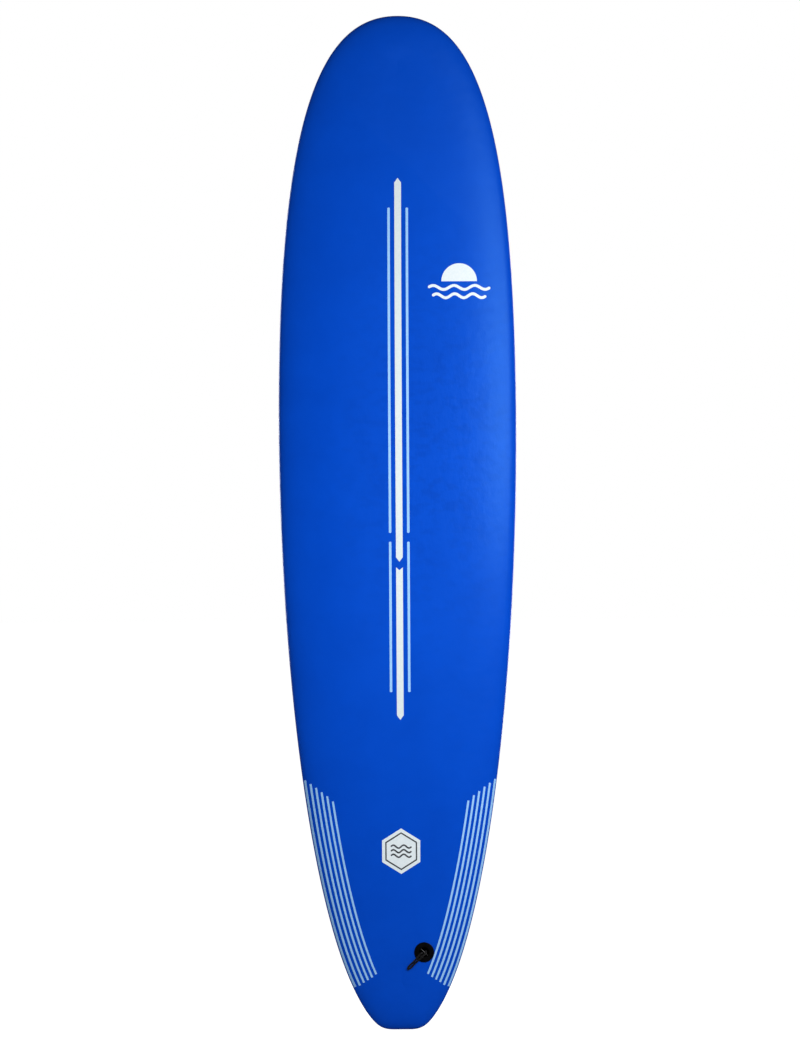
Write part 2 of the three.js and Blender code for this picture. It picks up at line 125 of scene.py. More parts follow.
def hull_points(s, side, inward, face, depth=0.0):
    """Points of the hull at section lines s, on one side, inset by depth, over deck or bottom."""
    edge, outward, foot = outline_at(s)
    rim = edge - outward * np.asarray(depth)[..., None]
    x = rim[..., 0] * (1 - inward)
    z = rim[..., 1] + (foot - rim[..., 1]) * inward
    thickness = thickness_at(foot)
    apex = APEX_SHARE * thickness + face * RAIL_BAND / 2
    crown = (thickness - depth - apex) * rounded(inward, CROWN_POWER)
    curl = (depth - apex) * rounded(np.minimum(1, inward / BELLY_FLAT), BELLY_POWER)
    height = apex + np.where(np.asarray(face) > 0, crown, curl)
    return np.stack([side * x, TAIL_APEX - rocker_at(z) - height, z], -1)


HALVINGS = 36
NORMAL_REACH = 4.0


def surface_points(x, z, face):
    """The hull's surface over or under plan points, found by halving along the outline."""
    x, z = np.broadcast_arrays(np.asarray(x, float), np.asarray(z, float))
    near, far = np.zeros(x.shape), np.full(x.shape, OUTLINE_END)
    for _ in range(HALVINGS):
        s = (near + far) / 2
        edge, _, foot = outline_at(s)
        inward = 1 - abs(x) / np.maximum(edge[..., 0], 1e-9)
        beyond = edge[..., 1] + (foot - edge[..., 1]) * inward > z
        near, far = np.where(beyond, s, near), np.where(beyond, far, s)
    return hull_points(s, np.where(x < 0, -1, 1), np.clip(inward, 0, 1), face)


def surface_normals(x, z, face):
    reach = NORMAL_REACH
    across = surface_points(x + reach, z, face) - surface_points(x - reach, z, face)
    along = surface_points(x, z + reach, face) - surface_points(x, z - reach, face)
    normal = np.cross(along, across) * -face
    return normal / np.linalg.norm(normal, axis=-1, keepdims=True)


# The foam sheet is drawn over the core by heat, which leaves it very slightly puckered.
PUCKER = 0.22
PUCKER_FINE, PUCKER_WIDE, PUCKER_PATCH = (17.0, 13.6), (90.0, 120.0), (260.0, 260.0)


def ripple(x, z, size, layer):
    """Smooth noise over the plan, whose waves have the given size across and along the board."""
    return noise.noise(Vector((x / size[0], layer, z / size[1])))


def pucker(points):
    """How far the deck's sheet stands in or out at each point, in mm."""
    flat = points.reshape(-1, 3)
    lift = np.empty(len(flat))
    for i, (x, _, z) in enumerate(flat):
        patch = ripple(x, z, PUCKER_PATCH, 7.3)
        fine = ripple(x, z, PUCKER_FINE, 1.7)
        wide = ripple(x, z, PUCKER_WIDE, 4.1)
        lift[i] = PUCKER * (fine * (0.7 + 1.2 * patch) + 0.9 * wide)
    return lift.reshape(points.shape[:-1])


# ---------------------------------------------------------------- mesh helpers
SHARP_ANGLE = math.radians(38)
WELD = 2e-6  # metres


def link(name, mesh, material, body, smooth=True):
    """Put a mesh in the scene as a piece of a body, with its material."""
    piece = bpy.data.objects.new(name, mesh)
    bpy.context.scene.collection.objects.link(piece)
    mesh.materials.clear()
    mesh.materials.append(material)
    if smooth:
        mesh.set_sharp_from_angle(angle=SHARP_ANGLE)
    else:
        mesh.shade_flat()
    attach(piece, body)
    return piece


def mesh_from(name, points, faces):
    """A mesh from points in mm and faces, with coincident points welded and flat faces dropped."""
    mesh = bpy.data.meshes.new(name)
    mesh.from_pydata((np.asarray(points) * MM).tolist(), [], faces)
    work = bmesh.new()
    work.from_mesh(mesh)
    bmesh.ops.remove_doubles(work, verts=work.verts, dist=WELD)
    bmesh.ops.dissolve_degenerate(work, edges=work.edges, dist=WELD / 4)
    bmesh.ops.recalc_face_normals(work, faces=work.faces)
    work.to_mesh(mesh)
    work.free()
    return mesh


def grid_faces(rows, columns, close_rows=False, close_columns=False, start=0):
    """Quads between the points of a grid that is stored row by row."""
    r = np.arange(rows if close_rows else rows - 1)
    c = np.arange(columns if close_columns else columns - 1)
    r, c = np.meshgrid(r, c, indexing="ij")
    r2, c2 = (r + 1) % rows, (c + 1) % columns
    corners = [r * columns + c, r * columns + c2, r2 * columns + c2, r2 * columns + c]
    return (np.stack(corners, -1).reshape(-1, 4) + start).tolist()


def length_along(path):
    """The distance along a polyline to each of its points."""
    return np.r_[0, np.cumsum(np.linalg.norm(np.diff(path, axis=0), axis=1))]


def even_lines(step):
    """Outline parameters for one side, about step mm apart, nose to tail."""
    s = np.linspace(0, OUTLINE_END, 4001)
    run = length_along(outline_at(s)[0])
    return np.interp(np.linspace(0, run[-1], int(run[-1] / step) + 1), run, s)


def even_levels(face, first, last, step):
    """Levels about step mm apart along the widest section, closer round the rail."""
    inward = first + (last - first) * np.linspace(0, 1, 2001) ** 2
    run = length_along(hull_points(np.ones(2001), 1, inward, face))
    count = int(run[-1] / step) + 1
    share = np.linspace(0, 1, count) ** 1.15
    return np.interp(share * run[-1], run, inward)


def turned(profile, sides=96):
    """Points and faces of a lathe solid round the local Y axis.

    The profile holds (radius, y) pairs, from the axis out and back to the axis.
    """
    profile = np.asarray(profile, float)
    angle = np.linspace(0, 2 * math.pi, sides, endpoint=False)[:, None]
    radius, height = profile[:, 0], profile[:, 1]
    points = np.stack([radius * np.cos(angle), height + 0 * angle, radius * np.sin(angle)], -1)
    return points.reshape(-1, 3), grid_faces(sides, len(profile), close_rows=True)


def rod(radius, low, high):
    """A plain cylinder's profile, for turned."""
    return [(0, low), (radius, low), (radius, high), (0, high)]


def slab(width, low, high):
    """A plain bar's rows, for stadium, closed at both caps."""
    return [(width / 2, low), (0, low), (0, high), (width / 2, high)]


def soften(corners, radii, steps=4):
    """A polyline whose corners are rounded; a radius of 0 leaves its corner sharp."""
    corners = np.asarray(corners, float)
    path = [corners[0]]
    for i in range(1, len(corners) - 1):
        radius = radii.get(i, 0)
        if not radius:
            path.append(corners[i])
            continue
        into, out = corners[i] - corners[i - 1], corners[i + 1] - corners[i]
        start = corners[i] - into / np.linalg.norm(into) * radius
        end = corners[i] + out / np.linalg.norm(out) * radius
        for t in np.linspace(0, 1, steps + 1):
            path.append((1 - t) ** 2 * start + 2 * t * (1 - t) * corners[i] + t**2 * end)
    path.append(corners[-1])
    return path


def stadium(length, width, rows, steps=20):
    """Points and faces of a round-ended bar along local Z; rows are (inset, y) from cap to cap."""
    reach = (length - width) / 2
    turn = np.linspace(-math.pi / 2, math.pi / 2, steps)
    ends = [(np.cos(turn), np.sin(turn), reach), (-np.cos(turn), -np.sin(turn), -reach)]
    points = []
    for inset, y in rows:
        radius = max(width / 2 - inset, 0)
        for ahead, across, centre in ends:
            points += [(radius * a, y, centre + radius * z) for z, a in zip(ahead, across)]
    return np.array(points), grid_faces(len(rows), 2 * steps, close_columns=True)


def block(width, top, bottom, length, z=0.0):
    """Points and faces of a plain block, for cutting with."""
    x, r = width / 2, length / 2
    points = [(sx * x, y, z + sz * r) for y in (bottom, top) for sz in (-1, 1) for sx in (-1, 1)]
    faces = [(0, 1, 3, 2), (4, 6, 7, 5), (0, 4, 5, 1), (2, 3, 7, 6), (0, 2, 6, 4), (1, 5, 7, 3)]
    return np.array(points), faces


def place_on_hull(x, z, face, towards):
    """The origin and axes of a local frame whose +Y leaves the hull and +Z is near towards."""
    up = surface_normals(x, z, face)
    across = np.cross(up, towards)
    across /= np.linalg.norm(across)
    return surface_points(x, z, face), np.stack([across, up, np.cross(across, up)])


def placed(shape, place):
    points, faces = shape
    origin, axes = place
    return points @ axes + origin, faces


def joined(*shapes):
    """Several closed shapes as one set of points and faces."""
    points, faces, start = [], [], 0
    for shape_points, shape_faces in shapes:
        points.append(shape_points)
        faces += [[v + start for v in face] for face in shape_faces]
        start += len(shape_points)
    return np.concatenate(points), faces


def solid(name, shape, add=(), cut=()):
    """A mesh of a closed shape, joined with some shapes and less some others."""
    mesh = mesh_from(name, *shape)
    if not add and not cut:
        return mesh
    collection = bpy.context.scene.collection
    whole = bpy.data.objects.new(name, mesh)
    collection.objects.link(whole)
    tools = []
    for operation, shapes in (("UNION", add), ("DIFFERENCE", cut)):
        for other in shapes:
            tool = bpy.data.objects.new("tool", mesh_from("tool", *other))
            collection.objects.link(tool)
            tools.append(tool)
            step = whole.modifiers.new("step", "BOOLEAN")
            step.operation, step.solver, step.object = operation, "MANIFOLD", tool
    bpy.context.view_layer.update()
    result = bpy.data.meshes.new_from_object(
        whole.evaluated_get(bpy.context.evaluated_depsgraph_get())
    )
    for used in (whole, *tools):
        bpy.data.objects.remove(used)
    return result


# ------------------------------------------------------------------- materials
class Shader:
    """A material's node tree, with short calls for the nodes this scene uses."""

    def __init__(self, name, **values):
        self.material = bpy.data.materials.new(name)
        self.material.use_nodes = True
        self.tree = self.material.node_tree
        self.surface = self.tree.nodes["Principled BSDF"]
        self.place = self.tree.nodes.new("ShaderNodeTexCoord").outputs["Object"]
        for key, value in values.items():
            self.surface.inputs[key.replace("_", " ")].default_value = value

    def node(self, kind, output, properties=None, **inputs):
        node = self.tree.nodes.new("ShaderNode" + kind)
        for key, value in (properties or {}).items():
            setattr(node, key, value)
        for key, value in inputs.items():
            self.feed(node.inputs[key.replace("_", " ")], value)
        return node.outputs[output]

    def feed(self, socket, value):
        if isinstance(value, bpy.types.NodeSocket):
            self.tree.links.new(value, socket)
        else:
            socket.default_value = value

    def stretched(self, x, y, z):
        """Object coordinates multiplied by x, y and z."""
        return self.node("Mapping", "Vector", Vector=self.place, Scale=(x, y, z))

    def noise(self, scale, where=None, detail=2.0, roughness=0.5):
        return self.node("TexNoise", "Fac", Vector=where or self.place, Scale=scale,
                         Detail=detail, Roughness=roughness)

    def cells(self, scale):
        return self.node("TexVoronoi", "Distance", Vector=self.place, Scale=scale)

    def math(self, operation, first, second):
        result = self.node("Math", "Value", {"operation": operation})
        self.feed(result.node.inputs[0], first)
        self.feed(result.node.inputs[1], second)
        return result

    def spread(self, value, low, high, start=0.3, end=0.7):
        """Value, from start to end, as a number from low to high."""
        node = self.tree.nodes.new("ShaderNodeMapRange")
        for key, number in (("From Min", start), ("From Max", end), ("To Min", low), ("To Max", high)):
            node.inputs[key].default_value = number
        self.feed(node.inputs["Value"], value)
        return node.outputs["Result"]

    def colour(self, value, first, second, start=0.3, end=0.7):
        """A blend from the first colour to the second as value goes from start to end."""
        ramp = self.tree.nodes.new("ShaderNodeValToRGB")
        for stop, place, rgb in zip(ramp.color_ramp.elements, (start, end), (first, second)):
            stop.position, stop.color = place, (*rgb, 1)
        self.feed(ramp.inputs["Fac"], value)
        return ramp.outputs["Color"]

    def bump(self, height, distance, strength=1.0, below=None):
        node = self.tree.nodes.new("ShaderNodeBump")
        node.inputs["Distance"].default_value = distance
        node.inputs["Strength"].default_value = strength
        self.feed(node.inputs["Height"], height)
        if below is not None:
            self.feed(node.inputs["Normal"], below)
        return node.outputs["Normal"]

    def finish(self, **outputs):
        for key, value in outputs.items():
            self.feed(self.surface.inputs[key.replace("_", " ")], value)
        return self.material


# The patch that has been knelt on, where the foam wrinkles and its creases' shade is painted: its
# centre, in metres, and how far it reaches across the deck.
# It reaches twice as far along the deck.
KNELT_X, KNELT_Z = 0.09, 1.4
KNELT_INNER, KNELT_OUTER = 0.08, 0.3


def knelt_on(shader, least):
    """1 a little right of the board's centre, where it has been knelt on, falling to least."""
    away = shader.node("VectorMath", "Value", {"operation": "DISTANCE"})
    shader.feed(away.node.inputs[0], shader.stretched(1, 1, 0.5))
    away.node.inputs[1].default_value = (KNELT_X, 0, KNELT_Z / 2)
    return shader.spread(away, 1.0, least, KNELT_INNER, KNELT_OUTER)


def emboss(shader):
    """The foam sheet's finish: fine closed cells pressed by the rollers, and faint wrinkles."""
    cells = shader.bump(shader.cells(520), 0.00012, 0.5)
    grain = shader.bump(shader.noise(1400, detail=1), 0.00005, 0.5, cells)
    wrinkles = shader.noise(70, shader.stretched(1, 1, 0.6), detail=3, roughness=0.6)
    height = shader.math("MULTIPLY", wrinkles, knelt_on(shader, 0.3))
    return shader.bump(height, 0.0006, 1.0, grain)


def deck_foam():
    """Blue closed-cell foam, its colour a little uneven, with the shade of creases painted in as
    darker strokes where it has been knelt on.
    """
    shader = Shader("embossed_foam", Specular_IOR_Level=0.5, Specular_Tint=(0.15, 0.5, 0.97, 1))
    # Painted shade: darker strokes in the base colour stand for the shade in the creases, strongest in
    # the knelt-on patch.
    crease_shade_strokes = shader.noise(50, shader.stretched(0.65, 1, 1.1), detail=3)
    crease_shade_strokes = shader.spread(crease_shade_strokes, 0, 0.45, 0.46, 0.64)
    painted_crease_shade = shader.math("MULTIPLY", crease_shade_strokes, knelt_on(shader, 0.12))
    shade = shader.math("SUBTRACT", shader.noise(9, detail=4), painted_crease_shade)
    shade = shader.spread(shade, 0, 1, -0.3, 0.7)
    base = shader.colour(shade, (0.0002, 0.052, 0.48), (0.0006, 0.068, 0.59), 0, 1)
    roughness = shader.spread(shader.noise(70, detail=3), 0.3, 0.34)
    return shader.finish(Base_Color=base, Roughness=roughness, Normal=emboss(shader))


def ink(name, first, second):
    """Printed ink, which takes the foam's own emboss."""
    shader = Shader(name)
    base = shader.colour(shader.noise(240, detail=3), first, second)
    roughness = shader.spread(shader.noise(90, detail=2), 0.42, 0.55)
    return shader.finish(Base_Color=base, Roughness=roughness, Normal=emboss(shader))


def slick_sheet():
    """Smooth white film, with fine scuffs along the board and a faint orange peel."""
    shader = Shader("slick_film", Specular_IOR_Level=0.5)
    base = shader.colour(shader.noise(6, detail=3), (0.8, 0.83, 0.86), (0.85, 0.87, 0.89))
    scuffs = shader.noise(420, shader.stretched(1, 1, 0.03), detail=2)
    roughness = shader.spread(scuffs, 0.2, 0.32)
    peel = shader.bump(shader.noise(160, detail=2), 0.00006, 0.6)
    wave = shader.bump(shader.noise(9, detail=1), 0.0006, 0.5, peel)
    return shader.finish(Base_Color=base, Roughness=roughness, Normal=wave)


def moulded(name, first, second, rough, grain):
    """Moulded plastic with a spark-eroded grain."""
    shader = Shader(name, Specular_IOR_Level=0.3)
    base = shader.colour(shader.noise(55, detail=4), first, second)
    roughness = shader.spread(shader.noise(240, detail=3), rough - 0.06, rough + 0.08)
    fine = shader.bump(shader.noise(1900, detail=3), grain, 0.8)
    flow = shader.bump(shader.noise(26, shader.stretched(1, 0.5, 1), detail=1), 0.0002, 0.4, fine)
    return shader.finish(Base_Color=base, Roughness=roughness, Normal=flow)


def steel(name, first, second):
    """Turned stainless steel, with the tool's fine rings."""
    shader = Shader(name, Metallic=1.0)
    turning = shader.noise(2600, shader.stretched(0.25, 1, 0.25), detail=2)
    base = shader.colour(shader.noise(300), first, second)
    return shader.finish(Base_Color=base, Roughness=shader.spread(turning, 0.34, 0.48),
                         Normal=shader.bump(turning, 0.00002, 0.5))


def braid():
    """Black nylon, with the fibres along the cord."""
    shader = Shader("braided_nylon", Sheen_Weight=0.08, Sheen_Roughness=0.5)
    base = shader.colour(shader.noise(900, detail=3), (0.002, 0.002, 0.0026), (0.009, 0.009, 0.01))
    fibres = shader.bump(shader.noise(3600, shader.stretched(1, 1, 0.3), detail=2), 0.0001, 0.8)
    return shader.finish(Base_Color=base, Roughness=shader.spread(shader.noise(700), 0.7, 0.9),
                         Normal=fibres)


def bead_foam():
    """Moulded bead foam."""
    shader = Shader("bead_foam", Specular_IOR_Level=0.3, Subsurface_Weight=0.1)
    shader.surface.inputs["Subsurface Scale"].default_value = 0.004
    beads = shader.cells(260)
    base = shader.colour(beads, (0.9, 0.9, 0.87), (0.74, 0.74, 0.71), 0.35, 0.85)
    return shader.finish(Base_Color=base, Roughness=shader.spread(beads, 0.75, 0.95, 0, 0.8),
                         Normal=shader.bump(beads, 0.0006, 0.8))


def plywood():
    """A plywood strip, seen on the edges of its plies."""
    shader = Shader("plywood_edge")
    plies = shader.node("TexWave", "Fac", {"bands_direction": "X"}, Vector=shader.place,
                        Scale=320.0, Distortion=0.6, Detail=1.0)
    grain = shader.noise(120, shader.stretched(1, 1, 0.04), detail=5, roughness=0.6)
    light = shader.colour(grain, (0.36, 0.2, 0.09), (0.56, 0.37, 0.2), 0.35, 0.65)
    dark = shader.colour(grain, (0.25, 0.13, 0.055), (0.42, 0.25, 0.12), 0.35, 0.65)
    mix = shader.tree.nodes.new("ShaderNodeMix")
    mix.data_type = "RGBA"
    shader.feed(mix.inputs["Factor"], plies)
    shader.feed(mix.inputs[6], light)
    shader.feed(mix.inputs[7], dark)
    return shader.finish(Base_Color=mix.outputs[2], Roughness=shader.spread(grain, 0.6, 0.8),
                         Normal=shader.bump(grain, 0.0002, 0.6))


DECK_FOAM = deck_foam()
WHITE_INK = ink("white_ink", (0.74, 0.84, 0.88), (0.82, 0.89, 0.92))
BAR_INK = ink("bar_ink", (0.67, 0.77, 0.8), (0.75, 0.82, 0.84))
PALE_INK = ink("pale_blue_ink", (0.29, 0.57, 0.95), (0.35, 0.63, 0.99))
DARK_INK = ink("dark_ink", (0.035, 0.042, 0.05), (0.055, 0.06, 0.07))
SLICK = slick_sheet()
BLACK_PLASTIC = moulded("grained_plastic", (0.0012, 0.0012, 0.0016), (0.003, 0.003, 0.0035),
                        rough=0.36, grain=0.00004)
FIN_PLASTIC = moulded("satin_plastic", (0.009, 0.009, 0.01), (0.016, 0.016, 0.018),
                      rough=0.3, grain=0.000025)
STEEL = steel("turned_steel", (0.36, 0.365, 0.38), (0.48, 0.485, 0.5))
# Painted shade: a darker copy of the turned steel, for the pin, whose colour stands for the shade it
# sits in under the cord.
SHADED_PIN_STEEL = steel("steel_with_painted_shade", (0.09, 0.09, 0.095), (0.15, 0.15, 0.155))
CORD = braid()
CORE_FOAM = bead_foam()
PLYWOOD = plywood()

# ---------------------------------------------------------------------- places
# Pieces that meet are GAP apart. Tab slots and screws sit at the same places along every fin box.
GAP = 0.4
CLEAR = 12.0  # how far a cutting tool stands past the face it cuts
TABS = (28.0, -28.0)
TAB_LENGTH, TAB_WIDTH, TAB_DEPTH, SLOT_DEPTH = 22.0, 5.8, 13.5, 15.0
BOX_LENGTH, BOX_WIDTH, BOX_DEPTH = 118.0, 30.0, 20.0
PLINTH_WIDTH, PLINTH_HEIGHT = 9.5, 3.0
SCREW_RADIUS, SCREW_LENGTH, SCREW_SINK = 2.5, 8.0, 0.6
SOCKET_RADIUS, SOCKET_DEPTH = 1.5, 3.0
HOLE_RADIUS, HOLE_DEPTH, HOLE_MOUTH = 2.8, 12.0, 8.5
SCREW_TILT = math.radians(19.5)

# Base, depth and cant; then the place and toe of each fin, and the side its screws are on.
# Lengths are in mm and angles in degrees.
FINS = {
    "centre": dict(base=112.0, depth=124.0, cant=0.0, x=0.0, z=152.0, toe=0.0, side=1),
    "left": dict(base=106.0, depth=112.0, cant=5.0, x=-130.0, z=336.0, toe=3.0, side=-1),
    "right": dict(base=106.0, depth=112.0, cant=5.0, x=130.0, z=336.0, toe=3.0, side=1),
}
for shape in FINS.values():
    toe = math.radians(shape["toe"]) * shape["side"]
    ahead = (-math.sin(toe), 0, math.cos(toe))
    shape["place"] = place_on_hull(shape["x"], shape["z"], BOTTOM, ahead)

PLUG_X, PLUG_Z = 53.7, 185.4
PLUG = place_on_hull(PLUG_X, PLUG_Z, DECK, (-math.sqrt(0.5), 0, math.sqrt(0.5)))
PLUG_BOTTOM = -float(np.linalg.norm(surface_points(PLUG_X, PLUG_Z, BOTTOM) - PLUG[0]))
FLANGE, FLANGE_RISE, FLANGE_SINK = 24.0, 2.0, 1.0
CUP_BODY, CUP_DEPTH, STEM, STEM_DEPTH = 15.0, 20.0, 7.0, 43.0
PIN_RADIUS, PIN_HALF, PIN_DEPTH = 2.25, 13.4, 6.0
CUP_BORE, CUP_FLOOR, CUP_MOUTH = 11.5, -15.0, 13.0
ANCHOR_RADIUS, ANCHOR_RISE, ANCHOR_SINK, BOLT, BOLT_TOP = 14.0, 1.6, 1.6, 4.0, -23.0
CORD_RADIUS = 2.3

# ------------------------------------------------------------------- the skins
LINE_STEP = 6.0
EDGE_ROUND = 1.2
EDGE_LEVEL = EDGE_ROUND / HALF_WIDTH
CALM_RAIL = 0.12  # the share of the deck, from the rail in, over which the puckers fade in


def section_loop(outer, inner_depth, edge_level):
    """A skin's section as (face, inward, depth) rows: outer face, rounded edge, inner face."""
    face, last = outer[-1]
    towards = 1 if edge_level > last else -1
    rows = [(f, level, 0.0) for f, level in outer]
    for turn in np.linspace(0, 1, 4)[1:] * math.pi / 2:
        level = edge_level - towards * EDGE_LEVEL * (1 - math.sin(turn))
        rows.append((face, level, EDGE_ROUND * (1 - math.cos(turn))))
    rows.append((face, edge_level, inner_depth))
    rows += [(f, level, inner_depth) for f, level in outer[::-4] if (f, level) != outer[0]]
    return rows + [(*outer[0], inner_depth)]


def skin_shape(rows, puckered):
    """Points and faces of a closed skin: each row of its section, round the whole outline."""
    right = even_lines(LINE_STEP)
    s = np.r_[right, right[-2:0:-1]]
    side = np.r_[np.ones(len(right)), -np.ones(len(right) - 2)]
    grid = np.array([hull_points(s, side, level, face, np.full(len(s), depth))
                     for face, level, depth in rows])
    if puckered:
        for row, (face, level, depth) in enumerate(rows):
            if face == DECK and depth == 0:
                fade = min(1.0, level / CALM_RAIL)
                grid[row, :, 1] -= pucker(grid[row]) * fade * fade * (3 - 2 * fade)
    return grid.reshape(-1, 3), grid_faces(len(rows), len(s), close_columns=True)


plug_hole = placed(turned([
    (0, -CUP_DEPTH - GAP),
    (CUP_BODY + GAP, -CUP_DEPTH - GAP),
    (CUP_BODY + GAP, -FLANGE_SINK - GAP),
    (FLANGE + GAP, -FLANGE_SINK - GAP),
    (FLANGE + GAP, CLEAR),
    (0, CLEAR),
]), PLUG)
anchor_hole = placed(turned([
    (0, PLUG_BOTTOM - CLEAR),
    (ANCHOR_RADIUS + GAP, PLUG_BOTTOM - CLEAR),
    (ANCHOR_RADIUS + GAP, PLUG_BOTTOM + ANCHOR_SINK + GAP),
    (STEM + GAP, PLUG_BOTTOM + ANCHOR_SINK + GAP),
    (STEM + GAP, 0),
    (0, 0),
]), PLUG)
pocket_width = BOX_WIDTH + 2 * GAP
pocket = stadium(BOX_LENGTH + 2 * GAP, pocket_width, slab(pocket_width, -BOX_DEPTH - GAP, CLEAR))
pockets = [placed(pocket, fin["place"]) for fin in FINS.values()]

deck_levels = even_levels(DECK, 0, 1, LINE_STEP)[::-1]
under_levels = even_levels(BOTTOM, 0, SEAM - 2 * EDGE_LEVEL, LINE_STEP)
deck_rows = [(DECK, level) for level in deck_levels] + [(BOTTOM, level) for level in under_levels]
deck_mesh = solid(
    "deck_sheet",
    skin_shape(section_loop(deck_rows, SKIN, SEAM), puckered=True),
    cut=[plug_hole],
)
deck_sheet = link("deck_sheet", deck_mesh, DECK_FOAM, "board")
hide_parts("deck_skin")

bottom_edge = SEAM + SEAM_SHARE
bottom_levels = even_levels(BOTTOM, bottom_edge + 2 * EDGE_LEVEL, 1, LINE_STEP)[::-1]
bottom_rows = [(BOTTOM, level) for level in bottom_levels]
bottom_mesh = solid(
    "bottom_sheet",
    skin_shape(section_loop(bottom_rows, SKIN, bottom_edge), puckered=False),
    cut=[anchor_hole, *pockets],
)
bottom_sheet = link("bottom_sheet", bottom_mesh, SLICK, "board")
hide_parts("bottom_skin")

# ---------------------------------------------------------------------- prints
# Each print is a thin film of ink laid on the deck's sheet. Plan points are (x, z).
FILM, FILM_SUNK = 0.35, 0.3
INK_STEP = 5.0
RIBBON_COLUMNS = 3
PRINT_CENTRE = 0.0
deck_tree = BVHTree.FromPolygons([v.co for v in deck_mesh.vertices],
                                 [p.vertices[:] for p in deck_mesh.polygons])


def on_deck(x, z, lift):
    """The point that stands lift off the deck's sheet over a plan point."""
    place, normal, _, _ = deck_tree.ray_cast(Vector((x * MM, -1, z * MM)), Vector((0, 1, 0)))
    return np.array(place) / MM + np.array(normal) * lift


def printed(name, patches, material, low=-FILM_SUNK, high=FILM):
    """A piece from grids of plan points, each a closed film over the deck's sheet."""
    shapes = []
    for grid, closed in patches:
        rows, columns = grid.shape[:2]
        flat = grid.reshape(-1, 2)
        top = [on_deck(x, z, high) for x, z in flat]
        under = [on_deck(x, z, low) for x, z in flat]
        count = rows * columns
        faces = grid_faces(rows, columns, close_rows=closed)
        faces += [[v + count for v in face[::-1]] for face in faces]
        border = [np.arange(rows) * columns, np.arange(rows) * columns + columns - 1]
        if closed:
            border = [np.r_[line, line[0]] for line in border]
        else:
            border += [np.arange(columns), np.arange(columns) + (rows - 1) * columns]
        for line in border:
            faces += [[a, b, b + count, a + count] for a, b in zip(line[:-1], line[1:])]
        shapes.append((np.array(top + under), faces))
    mesh = mesh_from(name, *joined(*shapes))
    link(name, mesh, material, "board", smooth=False)


def bar(x, half_width, low, high, columns=3, round_top=False):
    """A patch between z = low(u) and z = high(u), where u runs from -1 to 1 across it."""
    u = np.linspace(-1, 1, columns)
    if round_top:
        u = np.sin(u * math.pi / 2)
    start, end = np.array([low(v) for v in u]), np.array([high(v) for v in u])
    rows = int(np.max(end - start) / INK_STEP) + 2
    t = np.linspace(0, 1, rows)[:, None]
    z = start + (end - start) * t
    return np.stack([x + half_width * u + 0 * t, z], -1), False


def ribbon(centre, half_width, round_ends=True):
    """A patch of even width along a path of plan points."""
    along = np.gradient(centre, axis=0)
    along /= np.linalg.norm(along, axis=1, keepdims=True)
    across = np.stack([along[:, 1], -along[:, 0]], -1)
    width = np.full(len(centre), half_width)
    if round_ends:
        run = length_along(centre)
        end = np.minimum(run, run[-1] - run) / half_width
        width = half_width * np.sqrt(np.clip(1 - (1 - np.clip(end, 0, 1)) ** 2, 0.02, 1))
    u = np.linspace(-1, 1, RIBBON_COLUMNS)
    return centre[:, None] + across[:, None] * (u[:, None] * width[:, None, None]), False


def rim(height, roundness):
    """An end of a bar at height, whose corners drop by roundness."""
    return lambda u: height - roundness * abs(u)


BAR_HALF, BAR_POINT, BAR_DIP = 8.1, 11.0, 7.0
BAR_LOW, BAR_NOTCH, BAR_BREAK, BAR_HIGH = 745.6, 1113.0, 1126.2, 2049.8
LINE_X, LINE_HALF, LINE_ROUND = 22.0, 3.0, 1.6
LINE_SPANS = [(812.0, 1175.0), (1195.4, 1979.0)]
bar_patches = [
    bar(PRINT_CENTRE, BAR_HALF, rim(BAR_BREAK, -BAR_POINT), rim(BAR_HIGH, BAR_POINT), 5),
    bar(PRINT_CENTRE, BAR_HALF, rim(BAR_LOW, -BAR_POINT), rim(BAR_NOTCH - BAR_DIP, -BAR_DIP), 5),
]
line_patches = [
    bar(PRINT_CENTRE + side * LINE_X, LINE_HALF, rim(low, -LINE_ROUND), rim(high, LINE_ROUND))
    for side in (-1, 1)
    for low, high in LINE_SPANS
]
printed("print_bar", bar_patches, BAR_INK)
printed("print_lines", line_patches, PALE_INK)

# Six lines follow the outline on each side of the tail, each shorter than the one outside it.
STRIPE_INSETS = [5.0, 16.6, 28.2, 39.8, 51.4, 63.0]
STRIPE_TOPS = [601.5, 592.3, 583.2, 572.8, 562.7, 549.9]
STRIPE_ENDS = [102.8, 106.4, 113.4, 119.7, 125.7, 133.4]
STRIPE_HALF = 2.4


def stripe(side, inset, top, end):
    """A patch that follows the outline at an inset, between the heights end and top."""
    s = np.linspace(1, 2.2, 4001)
    edge, outward, _ = outline_at(s)
    path = edge - outward * inset
    path = path[(path[:, 1] < top) & (path[:, 1] > end) & (np.gradient(path[:, 1]) < 0)]
    run = length_along(path)
    even = np.linspace(0, run[-1], int(run[-1] / INK_STEP) + 2)
    centre = np.stack([np.interp(even, run, path[:, 0]), np.interp(even, run, path[:, 1])], -1)
    return ribbon(centre * (side, 1), STRIPE_HALF, round_ends=False)


for name, side in (("left", -1), ("right", 1)):
    spans = zip(STRIPE_INSETS, STRIPE_TOPS, STRIPE_ENDS)
    printed(f"print_stripes_{name}", [stripe(side, *span) for span in spans], PALE_INK)

# The badge is a hexagon with a keyline and three plain waves.
BADGE_Z, BADGE_HALF, BADGE_HIGH, BADGE_SHOULDER = 429.4, 46.0, 54.8, 26.0
KEYLINE_INSET, KEYLINE_HALF = 7.6, 1.6
INK_LOW, INK_HIGH = FILM - 0.2, FILM + 0.25


